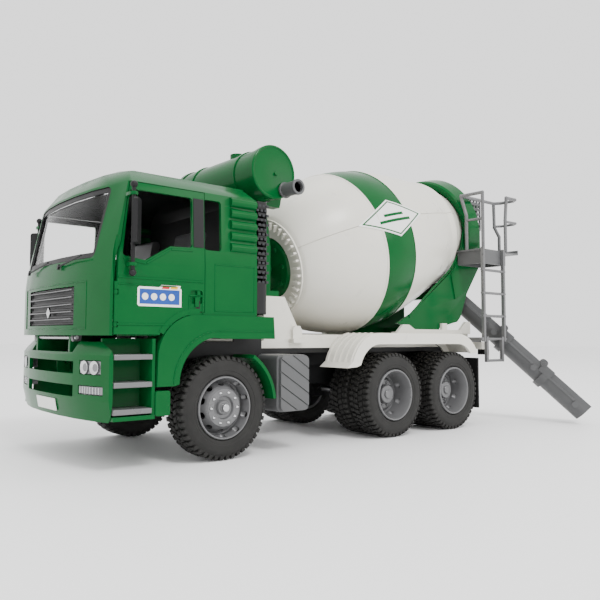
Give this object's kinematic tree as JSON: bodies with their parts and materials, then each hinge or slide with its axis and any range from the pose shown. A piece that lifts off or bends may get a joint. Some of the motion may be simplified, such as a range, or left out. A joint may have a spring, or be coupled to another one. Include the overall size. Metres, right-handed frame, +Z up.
{
  "type": "toy concrete mixer truck",
  "caption": "Toy concrete mixer truck with a tilting cab, opening doors, a crank-driven turning drum, rolling wheels and a swinging, folding chute.",
  "frame": {"origin": "on the ground under the mid-plane, between the front axle and the rear axles, 1 mm ahead of the middle axle", "axes": "+X forward to the cab, +Y to the truck's left, +Z up"},
  "size_m": [0.4823, 0.2276, 0.2455],
  "materials": {
    "axle_steel": "plain steel rod",
    "black_plastic": "moulded black plastic",
    "clear_pane": "clear plastic pane",
    "cream_plastic": "moulded off-white plastic",
    "green_plastic": "moulded green plastic",
    "grey_plastic": "dull grey plastic",
    "lamp_silver": "silvered reflector",
    "plate_white": "white label",
    "silver_plastic": "silver-grey plastic",
    "tyre_rubber": "black tyre rubber"
  },
  "bodies": {
    "chassis": {"chassis_frame": "black_plastic", "axles": "axle_steel", "subframe": "cream_plastic", "rear_fenders": "cream_plastic", "bumper": "green_plastic", "headlamps": "lamp_silver", "number_plate": "plate_white", "side_wells": "green_plastic", "steps": "silver_plastic", "battery_box": "grey_plastic", "fuel_tank": "grey_plastic", "mudflaps": "black_plastic", "tow_coupling": "black_plastic", "rear_frame": "green_plastic", "platform": "grey_plastic", "handrail": "silver_plastic", "ladder_upper": "silver_plastic", "inlet_hopper": "green_plastic", "hopper_guard": "grey_plastic", "front_bearing": "green_plastic", "water_tank": "green_plastic", "tank_end_caps": "green_plastic", "hose_nozzle": "grey_plastic", "engine_block": "grey_plastic", "cab_hinge_bar": "axle_steel"},
    "cab": {"cab_shell": "green_plastic", "cab_floor": "grey_plastic", "dashboard": "black_plastic", "steering_wheel": "black_plastic", "seats": "grey_plastic", "windscreen": "clear_pane", "windscreen_frame": "black_plastic", "grille": "black_plastic", "air_intake": "black_plastic"},
    "left_door": {"door_left": "green_plastic"},
    "right_door": {"door_right": "green_plastic"},
    "left_mirror": {"mirror_left": "black_plastic"},
    "right_mirror": {"mirror_right": "black_plastic"},
    "front_left_wheel": {"front_left_tyre": "tyre_rubber", "front_left_rim": "silver_plastic"},
    "front_right_wheel": {"front_right_tyre": "tyre_rubber", "front_right_rim": "silver_plastic"},
    "mid_left_wheel": {"mid_left_tyres": "tyre_rubber", "mid_left_rim": "silver_plastic"},
    "mid_right_wheel": {"mid_right_tyres": "tyre_rubber", "mid_right_rim": "silver_plastic"},
    "rear_left_wheel": {"rear_left_tyres": "tyre_rubber", "rear_left_rim": "silver_plastic"},
    "rear_right_wheel": {"rear_right_tyres": "tyre_rubber", "rear_right_rim": "silver_plastic"},
    "drum": {"drum_upper": "cream_plastic", "drum_lower": "cream_plastic", "drum_gear": "cream_plastic", "drum_hub": "green_plastic", "mixing_blades": "grey_plastic"},
    "hand_crank": {"crank": "silver_plastic"},
    "ladder_foot": {"ladder_lower": "silver_plastic"},
    "chute_top": {"chute_main": "grey_plastic"},
    "chute_mid": {"chute_middle": "grey_plastic"},
    "chute_tip": {"chute_end": "grey_plastic"}
  },
  "joints": [
    {"name": "front_left_spin", "type": "hinge", "parent": "chassis", "child": "front_left_wheel", "pos_m": [0.165, 0.064, 0.034], "axis": [0, 1, 0], "continuous": true},
    {"name": "front_right_spin", "type": "hinge", "parent": "chassis", "child": "front_right_wheel", "pos_m": [0.165, -0.064, 0.034], "axis": [0, 1, 0], "continuous": true},
    {"name": "mid_left_spin", "type": "hinge", "parent": "chassis", "child": "mid_left_wheel", "pos_m": [-0.001, 0.062, 0.034], "axis": [0, 1, 0], "continuous": true},
    {"name": "mid_right_spin", "type": "hinge", "parent": "chassis", "child": "mid_right_wheel", "pos_m": [-0.001, -0.062, 0.034], "axis": [0, 1, 0], "continuous": true},
    {"name": "rear_left_spin", "type": "hinge", "parent": "chassis", "child": "rear_left_wheel", "pos_m": [-0.079, 0.062, 0.034], "axis": [0, 1, 0], "continuous": true},
    {"name": "rear_right_spin", "type": "hinge", "parent": "chassis", "child": "rear_right_wheel", "pos_m": [-0.079, -0.062, 0.034], "axis": [0, 1, 0], "continuous": true},
    {"name": "drum_spin", "type": "hinge", "parent": "chassis", "child": "drum", "pos_m": [0.0707, 0, 0.1384], "axis": [-0.9703, 0, 0.2419], "continuous": true},
    {"name": "crank_spin", "type": "hinge", "parent": "chassis", "child": "hand_crank", "pos_m": [0.08234, -0.06, 0.1355], "axis": [0, 1, 0], "continuous": true},
    {"name": "cab_tilt", "type": "hinge", "parent": "chassis", "child": "cab", "pos_m": [0.251, 0, 0.0795], "axis": [0, 1, 0], "range_deg": [0, 55]},
    {"name": "left_door_hinge", "type": "hinge", "parent": "cab", "child": "left_door", "pos_m": [0.2444, 0.0758, 0.098], "axis": [0, 0, -1], "range_deg": [0, 70]},
    {"name": "right_door_hinge", "type": "hinge", "parent": "cab", "child": "right_door", "pos_m": [0.2444, -0.0758, 0.098], "axis": [0, 0, 1], "range_deg": [0, 70]},
    {"name": "left_mirror_hinge", "type": "hinge", "parent": "left_door", "child": "left_mirror", "pos_m": [0.2365, 0.0813, 0.145], "axis": [0, 0, 1], "range_deg": [-60, 15]},
    {"name": "right_mirror_hinge", "type": "hinge", "parent": "right_door", "child": "right_mirror", "pos_m": [0.2365, -0.0813, 0.145], "axis": [0, 0, -1], "range_deg": [-60, 15]},
    {"name": "ladder_fold", "type": "hinge", "parent": "chassis", "child": "ladder_foot", "pos_m": [-0.143, 0.076, 0.0795], "axis": [1, 0, 0], "range_deg": [0, 170]},
    {"name": "chute_swivel", "type": "hinge", "parent": "chassis", "child": "chute_top", "pos_m": [-0.135, 0, 0.125], "axis": [0, 0, 1], "range_deg": [0, 112]},
    {"name": "chute_fold_1", "type": "hinge", "parent": "chute_top", "child": "chute_mid", "pos_m": [-0.17468, 0.06604, 0.09035], "axis": [0.8572, 0.515, 0], "range_deg": [0, 60]},
    {"name": "chute_fold_2", "type": "hinge", "parent": "chute_mid", "child": "chute_tip", "pos_m": [-0.19299, 0.09651, 0.05662], "axis": [0.8572, 0.515, 0], "range_deg": [0, 165]}
  ],
  "couplings": [
    {"joint": "crank_spin", "follows": "drum_spin", "ratio": 4}
  ]
}
